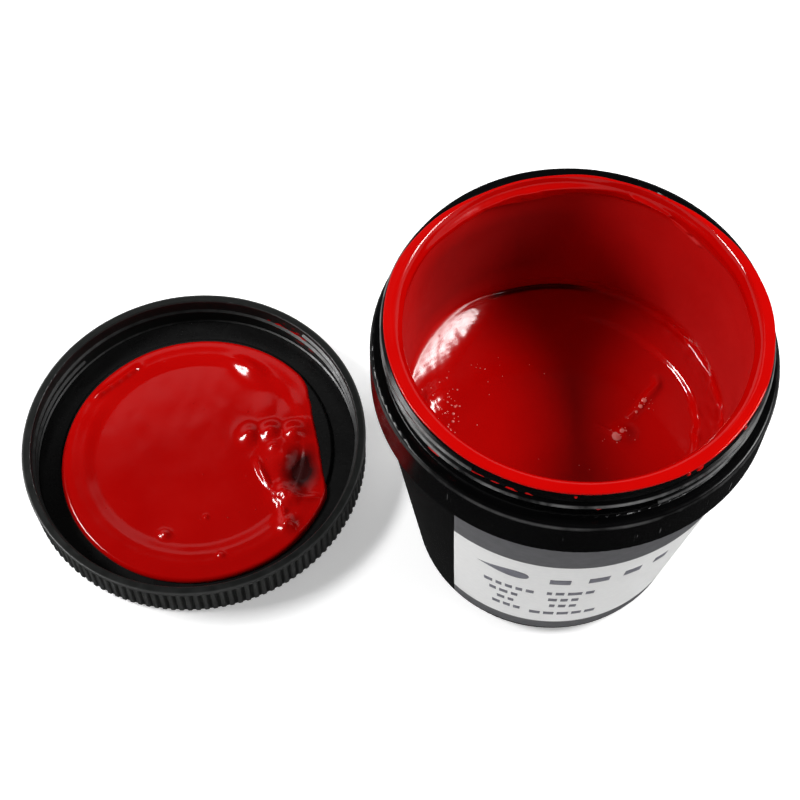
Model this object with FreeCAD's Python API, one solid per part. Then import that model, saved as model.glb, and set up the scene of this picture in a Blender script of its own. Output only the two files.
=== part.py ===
import FreeCAD, Part
import math
import os

# Wide-mouth screw-top paint jar, half full, with its lid off and lying inside-up beside it.
# Millimetres. The origin is where the jar's own axis meets the surface that it stands on,
# +Z runs up through the mouth, and the lid lies on the -X side.

# Jar body
JAR_HEIGHT = 123.0
BASE_R = 45.0
BASE_ROUNDING = 3.0
SHOULDER_R = 58.4
COLLAR_BOTTOM_Z = 94.5
COLLAR_TOP_Z = 110.0
COLLAR_R = 60.6
NECK_R = 56.4
MOUTH_R = 53.2
THROAT_Z = 112.0
INNER_TOP_R = 54.8
INNER_TOP_Z = 93.0
INNER_BASE_R = 43.2
FLOOR_Z = 3.7
RECESS_DEPTH = 1.5
FOOT_INNER_R = 37.0
GATE_R = 3.0
GATE_HEIGHT = 0.7

# Screw thread, the same pitch on the neck and in the lid
THREAD_PITCH = 4.0
NECK_THREAD_Z = 113.0
NECK_THREAD_TURNS = 1.85
NECK_CREST_R = 57.5
NECK_THREAD_ROOT = 2.4
NECK_THREAD_CREST = 0.8
LID_THREAD_TURNS = 1.75
LID_CREST_R = 56.95
LID_THREAD_ROOT = 2.0
LID_THREAD_CREST = 0.7
THREAD_OFFSET = 1.7
THREAD_SINK = 0.4

# Lid shell
LID_HEIGHT = 15.4
SKIRT_R = 60.1
RIB_R = 60.65
RIB_COUNT = 130
RIM_BEAD_R = 60.9
RIM_BEAD_HEIGHT = 1.3
LID_BORE_R = 57.85
PLATE_THICKNESS = 1.8
TOP_EDGE_ROUNDING = 1.6
PANEL_R = 53.0
PANEL_DEPTH = 0.4

# Loose sealing disc in the lid, and its running clearance
LINER_R = 57.2
LINER_THICKNESS = 1.0
LINER_CLEARANCE = 0.08
LINER_POCKET_DEPTH = 1.3
RING_OUTER_R = 48.6
RING_INNER_R = 38.5
RING_RAISE = 1.45
DISH_RAISE = 0.75
LIP_GAP = 0.35

# Paint
POOL_Z = 67.5
WALL_COAT_THROAT_R = 51.6
WALL_COAT_LOW_R = 50.3
LIP_COAT_R = 55.9
LIP_COAT_THICKNESS = 0.3
MENISCUS_R = 3.5
MENISCUS_STEP = 0.4
POOL_RIM_R = 46.2
LINER_COAT = 0.5

# Label
LABEL_THICKNESS = 0.25
LABEL_BOTTOM_Z = 4.0
LABEL_TOP_Z = 93.4
LABEL_GAP_AZIMUTH = -151.5
LABEL_GAP_TOP_HALF = 32.3
LABEL_GAP_BOTTOM_HALF = 19.7

# Where the lid lies, measured along X from the jar's axis to the lid's
LID_DISTANCE = 126.5

LAND_Z = JAR_HEIGHT + LIP_GAP
PLATE_UNDER_Z = LAND_Z + LINER_THICKNESS + LINER_CLEARANCE
LID_TOP_Z = PLATE_UNDER_Z + PLATE_THICKNESS
RIM_Z = LID_TOP_Z - LID_HEIGHT

UP = FreeCAD.Vector(0, 0, 1)
ORIGIN = FreeCAD.Vector(0, 0, 0)


def rounded_face(corners):
    """Face in the X-Z plane. Each corner is (radius, height, rounding)."""
    points = [FreeCAD.Vector(r, 0, z) for r, z, rounding in corners]
    count = len(points)
    edges = []
    trims = []
    for i, corner in enumerate(corners):
        here = points[i]
        back = (points[i - 1] - here).normalize()
        ahead = (points[(i + 1) % count] - here).normalize()
        rounding = corner[2]
        if rounding == 0:
            trims.append((here, here))
            continue
        half_angle = back.getAngle(ahead) / 2
        reach = rounding / math.tan(half_angle)
        crown = rounding / math.sin(half_angle) - rounding
        start = here + back * reach
        end = here + ahead * reach
        middle = here + (back + ahead).normalize() * crown
        edges.append(Part.Arc(start, middle, end).toShape())
        trims.append((start, end))
    for i in range(count):
        leave = trims[i][1]
        arrive = trims[(i + 1) % count][0]
        if leave.distanceToPoint(arrive) > 1e-6:
            edges.append(Part.makeLine(leave, arrive))
    wire = Part.Wire(Part.__sortEdges__(edges))
    return Part.Face(wire)


def turned(corners):
    """Solid of revolution about the Z axis."""
    return rounded_face(corners).revolve(ORIGIN, UP, 360)


def helical_ridge(root_r, crest_r, root_width, crest_width, start_z, turns, start_azimuth):
    """Trapezoid thread ridge as solids of under one turn each, sunk into the wall that carries it."""
    into_wall = THREAD_SINK if root_r < crest_r else -THREAD_SINK
    corners = [
        (root_r - into_wall, -root_width / 2),
        (crest_r, -crest_width / 2),
        (crest_r, crest_width / 2),
        (root_r - into_wall, root_width / 2),
    ]
    points = [FreeCAD.Vector(r, 0, z) for r, z in corners]
    section = Part.makePolygon(points + points[:1])
    count = math.ceil(turns)
    share = turns / count
    helix = Part.makeHelix(THREAD_PITCH, share * THREAD_PITCH, root_r)
    stretches = []
    for i in range(count):
        stretch = Part.Wire(helix.Edges).makePipeShell([section], True, True)
        stretch.rotate(ORIGIN, UP, start_azimuth + 360 * share * i)
        stretch.translate(UP * (start_z + THREAD_PITCH * share * i))
        stretches.append(stretch)
    return stretches


def cone_r(z):
    """Outside radius of the jar's tapered body at height z."""
    return BASE_R + (SHOULDER_R - BASE_R) * z / COLLAR_BOTTOM_Z


def middle_of_wall_r(z):
    """Radius inside the thickness of the body's wall at height z."""
    share = (z - FLOOR_Z) / (INNER_TOP_Z - FLOOR_Z)
    inner_r = INNER_BASE_R + (INNER_TOP_R - INNER_BASE_R) * share
    return (inner_r + cone_r(z)) / 2


def jar_body():
    """Pot with a foot ring, tapered wall, collar, threaded neck and rounded lip."""
    pot = turned([
        (0, RECESS_DEPTH, 0),
        (FOOT_INNER_R, RECESS_DEPTH, 1.0),
        (FOOT_INNER_R + 1.2, 0, 0.6),
        (BASE_R, 0, BASE_ROUNDING),
        (SHOULDER_R, COLLAR_BOTTOM_Z, 0.5),
        (COLLAR_R, COLLAR_BOTTOM_Z, 0.8),
        (COLLAR_R, COLLAR_TOP_Z, 1.5),
        (NECK_R, COLLAR_TOP_Z, 0.8),
        (NECK_R, JAR_HEIGHT, 1.1),
        (MOUTH_R, JAR_HEIGHT, 1.1),
        (MOUTH_R, THROAT_Z, 10.0),
        (INNER_TOP_R, INNER_TOP_Z, 10.0),
        (INNER_BASE_R, FLOOR_Z, 5.0),
        (0, FLOOR_Z, 0),
    ])
    gate = Part.makeCylinder(GATE_R, GATE_HEIGHT + 0.5, FreeCAD.Vector(0, 0, RECESS_DEPTH - GATE_HEIGHT))
    thread = helical_ridge(
        NECK_R, NECK_CREST_R, NECK_THREAD_ROOT, NECK_THREAD_CREST, NECK_THREAD_Z, NECK_THREAD_TURNS, -60
    )
    return pot.fuse([gate] + thread)


def label():
    """Paper sleeve on the tapered body, open over a gap that widens towards the top."""
    sleeve = turned([
        (cone_r(LABEL_BOTTOM_Z), LABEL_BOTTOM_Z, 0),
        (cone_r(LABEL_BOTTOM_Z) + LABEL_THICKNESS, LABEL_BOTTOM_Z, 0),
        (cone_r(LABEL_TOP_Z) + LABEL_THICKNESS, LABEL_TOP_Z, 0),
        (cone_r(LABEL_TOP_Z), LABEL_TOP_Z, 0),
    ])
    outline = [
        FreeCAD.Vector(0, -LABEL_GAP_BOTTOM_HALF, LABEL_BOTTOM_Z),
        FreeCAD.Vector(0, LABEL_GAP_BOTTOM_HALF, LABEL_BOTTOM_Z),
        FreeCAD.Vector(0, LABEL_GAP_TOP_HALF, LABEL_TOP_Z),
        FreeCAD.Vector(0, -LABEL_GAP_TOP_HALF, LABEL_TOP_Z),
    ]
    gap = Part.Face(Part.makePolygon(outline + outline[:1])).extrude(FreeCAD.Vector(2 * COLLAR_R, 0, 0))
    gap.rotate(ORIGIN, UP, LABEL_GAP_AZIMUTH)
    return sleeve.cut(gap)


def paint_pool(jar):
    """Paint that fills the pot up to the pool's level surface."""
    filling = turned([
        (0, FLOOR_Z - 1.0, 0),
        (middle_of_wall_r(FLOOR_Z) - 2.0, FLOOR_Z - 1.0, 0),
        (middle_of_wall_r(FLOOR_Z), FLOOR_Z + 2.0, 0),
        (middle_of_wall_r(POOL_Z), POOL_Z, 0),
        (0, POOL_Z, 0),
    ])
    return filling.cut(jar)


def wall_coat(jar):
    """Coat of paint from the pool's curved edge up the wall and over the lip."""
    lip_coat_z = JAR_HEIGHT + LIP_COAT_THICKNESS
    coat = turned([
        (POOL_RIM_R, POOL_Z, 0),
        (middle_of_wall_r(POOL_Z), POOL_Z, 0),
        (middle_of_wall_r(INNER_TOP_Z), INNER_TOP_Z, 0),
        (LIP_COAT_R, THROAT_Z, 0),
        (LIP_COAT_R, lip_coat_z, 0.25),
        (WALL_COAT_THROAT_R, lip_coat_z, 1.2),
        (WALL_COAT_THROAT_R, THROAT_Z, 10.0),
        (WALL_COAT_LOW_R, POOL_Z + MENISCUS_STEP, MENISCUS_R),
        (POOL_RIM_R, POOL_Z + MENISCUS_STEP, 0),
    ])
    return coat.cut(jar)


def rib_band():
    """Band of upright grip ribs round the lid's skirt."""
    pitch = 2 * math.pi / RIB_COUNT
    outline = []
    for rib in range(RIB_COUNT):
        for radius, share in ((SKIRT_R, 0.12), (RIB_R, 0.30), (RIB_R, 0.70), (SKIRT_R, 0.88)):
            azimuth = (rib + share) * pitch
            outline.append(FreeCAD.Vector(radius * math.cos(azimuth), radius * math.sin(azimuth), 0))
    bottom_z = RIM_Z + RIM_BEAD_HEIGHT / 2
    height = LID_HEIGHT - RIM_BEAD_HEIGHT / 2 - TOP_EDGE_ROUNDING
    band = Part.Face(Part.makePolygon(outline + outline[:1])).extrude(UP * height)
    core = Part.makeCylinder(SKIRT_R - 1.0, height)
    band = band.cut(core)
    band.translate(UP * bottom_z)
    return band


def lid_shell():
    """Screw cap, as it sits on the jar: plate up, ribbed skirt and rim bead down."""
    pocket_r = LINER_R + LINER_CLEARANCE
    pocket_z = PLATE_UNDER_Z - LINER_POCKET_DEPTH
    cap = turned([
        (0, LID_TOP_Z - PANEL_DEPTH, 0),
        (PANEL_R, LID_TOP_Z - PANEL_DEPTH, 0),
        (PANEL_R + PANEL_DEPTH, LID_TOP_Z, 0),
        (SKIRT_R, LID_TOP_Z, TOP_EDGE_ROUNDING),
        (SKIRT_R, RIM_Z + RIM_BEAD_HEIGHT, 0.2),
        (RIM_BEAD_R, RIM_Z + RIM_BEAD_HEIGHT, 0.3),
        (RIM_BEAD_R, RIM_Z, 0.5),
        (LID_BORE_R, RIM_Z, 0.5),
        (LID_BORE_R, pocket_z, 0),
        (pocket_r, pocket_z + 0.3, 0),
        (pocket_r, PLATE_UNDER_Z, 0),
        (0, PLATE_UNDER_Z, 0),
    ])
    thread = helical_ridge(
        LID_BORE_R,
        LID_CREST_R,
        LID_THREAD_ROOT,
        LID_THREAD_CREST,
        NECK_THREAD_Z - THREAD_OFFSET + THREAD_PITCH / 2,
        LID_THREAD_TURNS,
        120,
    )
    return cap.fuse([rib_band()] + thread)


def lid_liner():
    """Pressed sealing disc: flat land under the lip, raised ring, shallow dish inside it."""
    back_z = LAND_Z + LINER_THICKNESS
    return turned([
        (0, back_z, 0),
        (LINER_R, back_z, 0.2),
        (LINER_R, LAND_Z, 0.2),
        (RING_OUTER_R + 0.6, LAND_Z, 0.4),
        (RING_OUTER_R - 0.4, LAND_Z - RING_RAISE, 0.7),
        (RING_INNER_R + 0.4, LAND_Z - RING_RAISE, 0.7),
        (RING_INNER_R - 0.4, LAND_Z - DISH_RAISE, 0.4),
        (0, LAND_Z - DISH_RAISE, 0),
    ])


def coat_envelope():
    """Solid between the liner's land and the free surface of the paint on the liner."""
    ring_z = LAND_Z - RING_RAISE - LINER_COAT
    dish_z = LAND_Z - DISH_RAISE - LINER_COAT
    return turned([
        (0, LAND_Z, 0),
        (RING_OUTER_R + 0.7, LAND_Z, 0),
        (RING_OUTER_R + 0.2, ring_z, 1.0),
        (RING_INNER_R - 0.2, ring_z, 0.9),
        (RING_INNER_R - 1.4, dish_z, 0.8),
        (0, dish_z, 0),
    ])


def liner_coat(liner):
    """Coat of paint over the liner's ring and dish."""
    return coat_envelope().cut(liner)


def lump(x, y, length, width, height, azimuth):
    """Half-sunk ellipsoid of thick paint hanging from the dish, at (x, y) from the lid's axis."""
    ball = Part.makeSphere(1.0)
    stretch = FreeCAD.Matrix()
    stretch.scale(length / 2, width / 2, height)
    ellipsoid = ball.transformGeometry(stretch)
    ellipsoid.rotate(ORIGIN, UP, azimuth)
    ellipsoid.translate(FreeCAD.Vector(x, y, LAND_Z - DISH_RAISE - LINER_COAT))
    return ellipsoid


def liner_dollop(liner):
    """Thick lumps of paint at one side of the liner, as they hang when the lid is on."""
    lumps = [
        lump(-19.0, 9.5, 11.0, 13.0, 2.6, 20),
        lump(-27.0, 11.0, 15.0, 15.0, 3.6, 0),
        lump(-34.0, 9.5, 14.0, 13.0, 2.3, -10),
        lump(-26.0, -3.0, 7.0, 26.0, 1.8, 18),
    ]
    heap = lumps[0].fuse(lumps[1:])
    behind_the_coat = Part.makeCylinder(LINER_R, LID_HEIGHT, FreeCAD.Vector(0, 0, LAND_Z - DISH_RAISE))
    return heap.cut([behind_the_coat, coat_envelope(), liner])


def laid_beside(shape):
    """Turn a lid piece over about a level Y axis midway between the jar and where the lid lies."""
    placed = shape.copy()
    pivot = FreeCAD.Vector(-LID_DISTANCE / 2, 0, LID_TOP_Z / 2)
    placed.rotate(pivot, FreeCAD.Vector(0, 1, 0), 180)
    return placed


def write(name, shape):
    """Check one node's solids and write its STEP file."""
    solids = shape.Solids
    assert solids and all(solid.isValid() for solid in solids), name
    shape = solids[0] if len(solids) == 1 else Part.makeCompound(solids)
    shape.exportStep("parts/" + name + ".step")
    box = shape.BoundBox
    print(name, len(solids), "solids", round(shape.Volume), "mm3, Z", round(box.ZMin, 2), round(box.ZMax, 2))


os.makedirs("parts", exist_ok=True)

jar = jar_body()
liner = lid_liner()

write("jar_body", jar)
write("wraparound_label", label())
write("paint_pool", paint_pool(jar))
write("wall_paint_coat", wall_coat(jar))
write("lid_shell", laid_beside(lid_shell()))
write("lid_liner", laid_beside(liner))
write("liner_paint_coat", laid_beside(liner_coat(liner)))
write("liner_paint_dollop", laid_beside(liner_dollop(liner)))
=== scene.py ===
import math
import bmesh
import bpy
import numpy as np
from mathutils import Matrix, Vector


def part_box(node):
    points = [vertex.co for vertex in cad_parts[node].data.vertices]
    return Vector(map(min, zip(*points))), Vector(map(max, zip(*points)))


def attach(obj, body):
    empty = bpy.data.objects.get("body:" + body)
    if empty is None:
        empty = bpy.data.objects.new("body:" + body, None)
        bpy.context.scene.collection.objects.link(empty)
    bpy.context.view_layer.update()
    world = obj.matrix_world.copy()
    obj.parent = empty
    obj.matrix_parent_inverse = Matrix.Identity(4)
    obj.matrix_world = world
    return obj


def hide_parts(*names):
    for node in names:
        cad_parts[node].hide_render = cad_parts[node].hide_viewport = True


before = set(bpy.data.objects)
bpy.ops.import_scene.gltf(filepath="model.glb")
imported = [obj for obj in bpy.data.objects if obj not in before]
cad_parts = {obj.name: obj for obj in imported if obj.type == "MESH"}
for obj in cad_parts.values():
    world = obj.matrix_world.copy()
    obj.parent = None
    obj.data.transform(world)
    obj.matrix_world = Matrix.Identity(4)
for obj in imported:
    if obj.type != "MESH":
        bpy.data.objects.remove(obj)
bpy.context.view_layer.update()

# All sizes below are in millimetres, in the CAD frame, and MM turns them into metres.
MM = 0.001


def edge(node, side, axis):
    """One face of a CAD node's box in millimetres: side 0 is its low face and 1 its high face."""
    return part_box(node)[side][axis] / MM


# Places read from the frame
POOL_Z = edge("paint_pool", 1, 2)
LIP_COAT_Z = edge("wall_paint_coat", 1, 2)
COLLAR_R = edge("jar_body", 1, 0)
LABEL_BOTTOM_Z = edge("wraparound_label", 0, 2)
LABEL_TOP_Z = edge("wraparound_label", 1, 2)
LID_X = (edge("lid_shell", 0, 0) + edge("lid_shell", 1, 0)) / 2
LINER_BACK_Z = edge("lid_liner", 0, 2)
RING_Z = edge("lid_liner", 1, 2)
LINER_THICKNESS = 1.0
DISH_RAISE = 0.75
LAND_Z = LINER_BACK_Z + LINER_THICKNESS
DISH_Z = LAND_Z + DISH_RAISE

# Jar
NECK_R = 56.4
BASE_R = 45.0
SHOULDER_R = 58.4
COLLAR_BOTTOM_Z = 94.5
COLLAR_TOP_Z = 110.0

# Lid
LID_BORE_R = 57.85

# Paint in the jar
MENISCUS_R = 1.6
CREASE_Z = 67.95
CREASE_AZIMUTH = 112.0
COAT_LOW_R = 50.6
COAT_THROAT_R = 51.5
COAT_THROAT_Z = 112.0
LIP_ROLL_R = 3.0
COAT_EDGE_R = 56.55
FAR_EDGE_STEP = 3.3
BANK_AZIMUTH = 155.0
BANK_START = 40.2
BANK_SLOPE = 0.52

STIRRED_AZIMUTH = 160
SCRAPE_AZIMUTH = 34
SCRAPE_R = 42.6
SCRAPE_HEIGHT = 1.45

# Paint on the liner
DISC_R = 49.5
DISC_SHIFT = (0.9, -1.6)
RING_INNER_R = 39.2
COAT = 0.5
HOLLOW = (38.6, -1.2)
BARE_AZIMUTH = 21.0
BARE_FROM = 43.4

# Label
LABEL_THICKNESS = 0.2
LABEL_GAP_AZIMUTH = -151.5
LABEL_GAP_TOP_HALF = 32.3
LABEL_GAP_BOTTOM_HALF = 19.7
BAND_TOP_Z = 73.0
BAND_BOTTOM_Z = 11.6

# Camera
CAMERA_PLACE = (-7.7, -254.0, 498.4)
CAMERA_HEADING = 9.97
CAMERA_PITCH = 59.39
CAMERA_LENS = 70.2

# Middle of the part, in metres, at which the lights aim
MIDDLE = (-0.06, 0.0, 0.06)


# ---------------------------------------------------------------- mesh helpers

def smooth_step(low, high, value):
    """0 below low, 1 above high, and an even curve between."""
    t = np.clip((value - low) / (high - low), 0.0, 1.0)
    return t * t * (3 - 2 * t)


def ripple(x, y, wavelength, seed, waves=11, z=0.0):
    """Smooth seeded noise of about -1 to 1: sine waves of mixed length in mixed directions."""
    rng = np.random.default_rng(seed)
    total = np.zeros(np.broadcast(x, y, z).shape)
    for _ in range(waves):
        heading = rng.uniform(0, 2 * math.pi)
        tilt = rng.uniform(-0.5, 0.5) * math.pi
        phase = rng.uniform(0, 2 * math.pi)
        length = wavelength * rng.uniform(0.6, 1.7)
        along = x * math.cos(heading) + y * math.sin(heading) + z * math.tan(tilt * 0.5)
        total = total + np.sin(2 * math.pi * along / length + phase)
    return total / math.sqrt(waves) / 1.4


def mound(x, y, centre, spread, height, azimuth=0.0):
    """Smooth bell-shaped heap with its own length, width and heading."""
    turn = math.radians(azimuth)
    dx = x - centre[0]
    dy = y - centre[1]
    u = (dx * math.cos(turn) + dy * math.sin(turn)) / spread[0]
    v = (dy * math.cos(turn) - dx * math.sin(turn)) / spread[1]
    return height * np.exp(-0.5 * (u * u + v * v))


def curved_path(points, steps=8):
    """Points along a smooth curve through the given ones."""
    p = np.array([points[0]] + list(points) + [points[-1]], float)
    out = []
    for i in range(1, len(p) - 2):
        for t in np.linspace(0, 1, steps, endpoint=False):
            out.append(
                0.5 * (
                    2 * p[i]
                    + (p[i + 1] - p[i - 1]) * t
                    + (2 * p[i - 1] - 5 * p[i] + 4 * p[i + 1] - p[i + 2]) * t ** 2
                    + (3 * p[i] - 3 * p[i + 1] + p[i + 2] - p[i - 1]) * t ** 3
                )
            )
    out.append(p[-2])
    return np.array(out)


def ridge(x, y, points, width, height):
    """Rounded ridge along a curve, fading out at both ends."""
    path = curved_path(points)
    best = np.zeros(np.broadcast(x, y).shape)
    for i in range(len(path) - 1):
        a, b = path[i], path[i + 1]
        leg = b - a
        share = ((x - a[0]) * leg[0] + (y - a[1]) * leg[1]) / max(leg @ leg, 1e-9)
        share = np.clip(share, 0, 1)
        gap2 = (x - a[0] - share * leg[0]) ** 2 + (y - a[1] - share * leg[1]) ** 2
        done = (i + share) / (len(path) - 1)
        fade = np.sin(math.pi * np.clip(done, 0.02, 0.98)) ** 0.6
        best = np.maximum(best, fade * np.exp(-gap2 / width ** 2))
    return height * best


def make_object(name, points, faces, body, material):
    """Mesh object from points in millimetres, its faces turned outward, riding on a CAD body."""
    mesh = bpy.data.meshes.new(name)
    mesh.from_pydata((np.array(points, float) * MM).tolist(), [], faces)
    mesh.validate()
    shell = bmesh.new()
    shell.from_mesh(mesh)
    bmesh.ops.recalc_face_normals(shell, faces=shell.faces)
    shell.to_mesh(mesh)
    shell.free()
    mesh.polygons.foreach_set("use_smooth", [True] * len(mesh.polygons))
    mesh.update()
    made = bpy.data.objects.new(name, mesh)
    bpy.context.scene.collection.objects.link(made)
    made.data.materials.append(material)
    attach(made, body)
    return made


def grid_faces(rows, columns, wrap, start=0):
    """Quads of a grid whose points run row by row. wrap joins the last column to the first."""
    faces = []
    last = columns if wrap else columns - 1
    for i in range(rows - 1):
        for j in range(last):
            k = (j + 1) % columns
            a = start + i * columns
            b = a + columns
            faces.append((a + j, b + j, b + k, a + k))
    return faces


def turned_solid(profile, segments, shape=None, centre_x=0.0):
    """Points and faces of a closed solid turned from a profile that starts and ends on its axis."""
    profile = np.array(profile, float)
    azimuth = np.linspace(0, 2 * math.pi, segments, endpoint=False)
    inner = profile[1:-1]
    a, r = np.meshgrid(azimuth, inner[:, 0])
    z = np.repeat(inner[:, 1:2], segments, axis=1)
    x = r * np.cos(a)
    y = r * np.sin(a)
    if shape:
        x, y, z = shape(a, r, z)
    points = np.stack([centre_x + x, y, z], -1).reshape(-1, 3)
    rows = len(inner)
    first = (centre_x, 0.0, float(z[0].mean()))
    final = (centre_x, 0.0, float(z[-1].mean()))
    points = np.vstack([points, [first], [final]])
    faces = grid_faces(rows, segments, True)
    top = rows * segments
    base = (rows - 1) * segments
    for j in range(segments):
        k = (j + 1) % segments
        faces.append((top, j, k))
        faces.append((top + 1, base + k, base + j))
    return points, faces


def sheet_solid(front, back):
    """Points and faces of a thin closed sheet from two grids of points, row by row."""
    rows, columns = front.shape[:2]
    count = rows * columns
    points = np.vstack([front.reshape(-1, 3), back.reshape(-1, 3)])
    faces = grid_faces(rows, columns, False)
    faces += [tuple(reversed(f)) for f in grid_faces(rows, columns, False, count)]
    rim = [j for j in range(columns)]
    rim += [i * columns + columns - 1 for i in range(1, rows)]
    rim += [(rows - 1) * columns + j for j in range(columns - 2, -1, -1)]
    rim += [i * columns for i in range(rows - 2, 0, -1)]
    for i, here in enumerate(rim):
        ahead = rim[(i + 1) % len(rim)]
        faces.append((here, ahead, ahead + count, here + count))
    return points, faces


def joined(parts):
    """One set of points and faces from several."""
    points = []
    faces = []
    start = 0
    for some_points, some_faces in parts:
        points.append(np.array(some_points, float))
        faces += [tuple(i + start for i in f) for f in some_faces]
        start += len(some_points)
    return np.vstack(points), faces


def arc(centre, radius, start, end, count):
    """Points (r, z) along an arc in a profile, angles in degrees."""
    angles = np.radians(np.linspace(start, end, count))
    return [(centre[0] + radius * math.cos(t), centre[1] + radius * math.sin(t)) for t in angles]


def run(start, end, count):
    """Evenly spaced points from start towards end, without end."""
    shares = np.linspace(0, 1, count, endpoint=False)
    return [(start[0] + (end[0] - start[0]) * t, start[1] + (end[1] - start[1]) * t) for t in shares]


# ---------------------------------------------------------------- materials

def new_material(name):
    """Material with a Principled shader, and its node tree's tools."""
    material = bpy.data.materials.new(name)
    material.use_nodes = True
    nodes = material.node_tree.nodes
    return material, nodes, material.node_tree.links, nodes["Principled BSDF"]


def noise(nodes, links, vector, scale, detail=3.0, rough=0.5):
    """Noise texture in metres: scale is repeats per metre."""
    made = nodes.new("ShaderNodeTexNoise")
    made.inputs["Scale"].default_value = scale
    made.inputs["Detail"].default_value = detail
    made.inputs["Roughness"].default_value = rough
    links.new(vector, made.inputs["Vector"])
    return made.outputs["Fac"]


def spread(nodes, links, value, low, high, to_low, to_high):
    """Maps value from one range to another, and holds it at the ends."""
    made = nodes.new("ShaderNodeMapRange")
    made.inputs["From Min"].default_value = low
    made.inputs["From Max"].default_value = high
    made.inputs["To Min"].default_value = to_low
    made.inputs["To Max"].default_value = to_high
    links.new(value, made.inputs["Value"])
    return made.outputs["Result"]


def two_colours(nodes, links, factor, first, second):
    """Colour between two, by factor. Each is a socket or three numbers."""
    made = nodes.new("ShaderNodeMix")
    made.data_type = "RGBA"
    links.new(factor, made.inputs["Factor"])
    for name, colour in (("A", first), ("B", second)):
        if isinstance(colour, tuple):
            made.inputs[name].default_value = (*colour, 1)
        else:
            links.new(colour, made.inputs[name])
    return made.outputs["Result"]


def maths(nodes, links, operation, first, second):
    """Math node of two values, each a socket or a number."""
    made = nodes.new("ShaderNodeMath")
    made.operation = operation
    for socket, value in zip(made.inputs, (first, second)):
        if isinstance(value, (int, float)):
            socket.default_value = value
        else:
            links.new(value, socket)
    return made.outputs["Value"]


def product(nodes, links, first, *others):
    """Product of several values, each a socket or a number."""
    for other in others:
        first = maths(nodes, links, "MULTIPLY", first, other)
    return first


def between(nodes, links, value, low, high, soft):
    """1 where value, in metres, is between two limits in millimetres, and 0 beyond their soft edges."""
    rise = spread(nodes, links, value, (low - soft) * MM, (low + soft) * MM, 0, 1)
    drop = spread(nodes, links, value, (high - soft) * MM, (high + soft) * MM, 1, 0)
    return product(nodes, links, rise, drop)


def bump(nodes, links, shader, height, strength, distance):
    """Bump from a height socket into a shader's normal."""
    made = nodes.new("ShaderNodeBump")
    made.inputs["Strength"].default_value = strength
    made.inputs["Distance"].default_value = distance
    links.new(height, made.inputs["Height"])
    links.new(made.outputs["Normal"], shader.inputs["Normal"])


def round_place(nodes, links, radius):
    """Object coordinates, and the same unrolled round Z: distance round, 0, height. Metres."""
    place = nodes.new("ShaderNodeTexCoord").outputs["Object"]
    split = nodes.new("ShaderNodeSeparateXYZ")
    links.new(place, split.inputs["Vector"])
    azimuth = maths(nodes, links, "ARCTAN2", split.outputs["Y"], split.outputs["X"])
    around = maths(nodes, links, "MULTIPLY", azimuth, radius)
    flat = nodes.new("ShaderNodeCombineXYZ")
    links.new(around, flat.inputs["X"])
    links.new(split.outputs["Z"], flat.inputs["Z"])
    return place, split.outputs["Z"], flat.outputs["Vector"]


def stretched(nodes, links, vector, scale):
    """The vector with its own scale along each axis."""
    made = nodes.new("ShaderNodeMapping")
    made.inputs["Scale"].default_value = scale
    links.new(vector, made.inputs["Vector"])
    return made.outputs["Vector"]


def shifted(nodes, links, vector, move):
    """The vector with something added to it."""
    made = nodes.new("ShaderNodeMapping")
    made.inputs["Location"].default_value = move
    links.new(vector, made.inputs["Vector"])
    return made.outputs["Vector"]


def length_of(nodes, links, vector):
    """Length of a vector."""
    made = nodes.new("ShaderNodeVectorMath")
    made.operation = "LENGTH"
    links.new(vector, made.inputs[0])
    return made.outputs["Value"]


def from_axis(nodes, links, place):
    """Distance from the Z axis."""
    return length_of(nodes, links, stretched(nodes, links, place, (1, 1, 0)))


def towards(nodes, links, place, azimuth):
    """How far a place lies from the Z axis in the direction of an azimuth."""
    made = nodes.new("ShaderNodeVectorMath")
    made.operation = "DOT_PRODUCT"
    links.new(place, made.inputs[0])
    way = math.radians(azimuth)
    made.inputs[1].default_value = (math.cos(way), math.sin(way), 0)
    return made.outputs["Value"]


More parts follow.
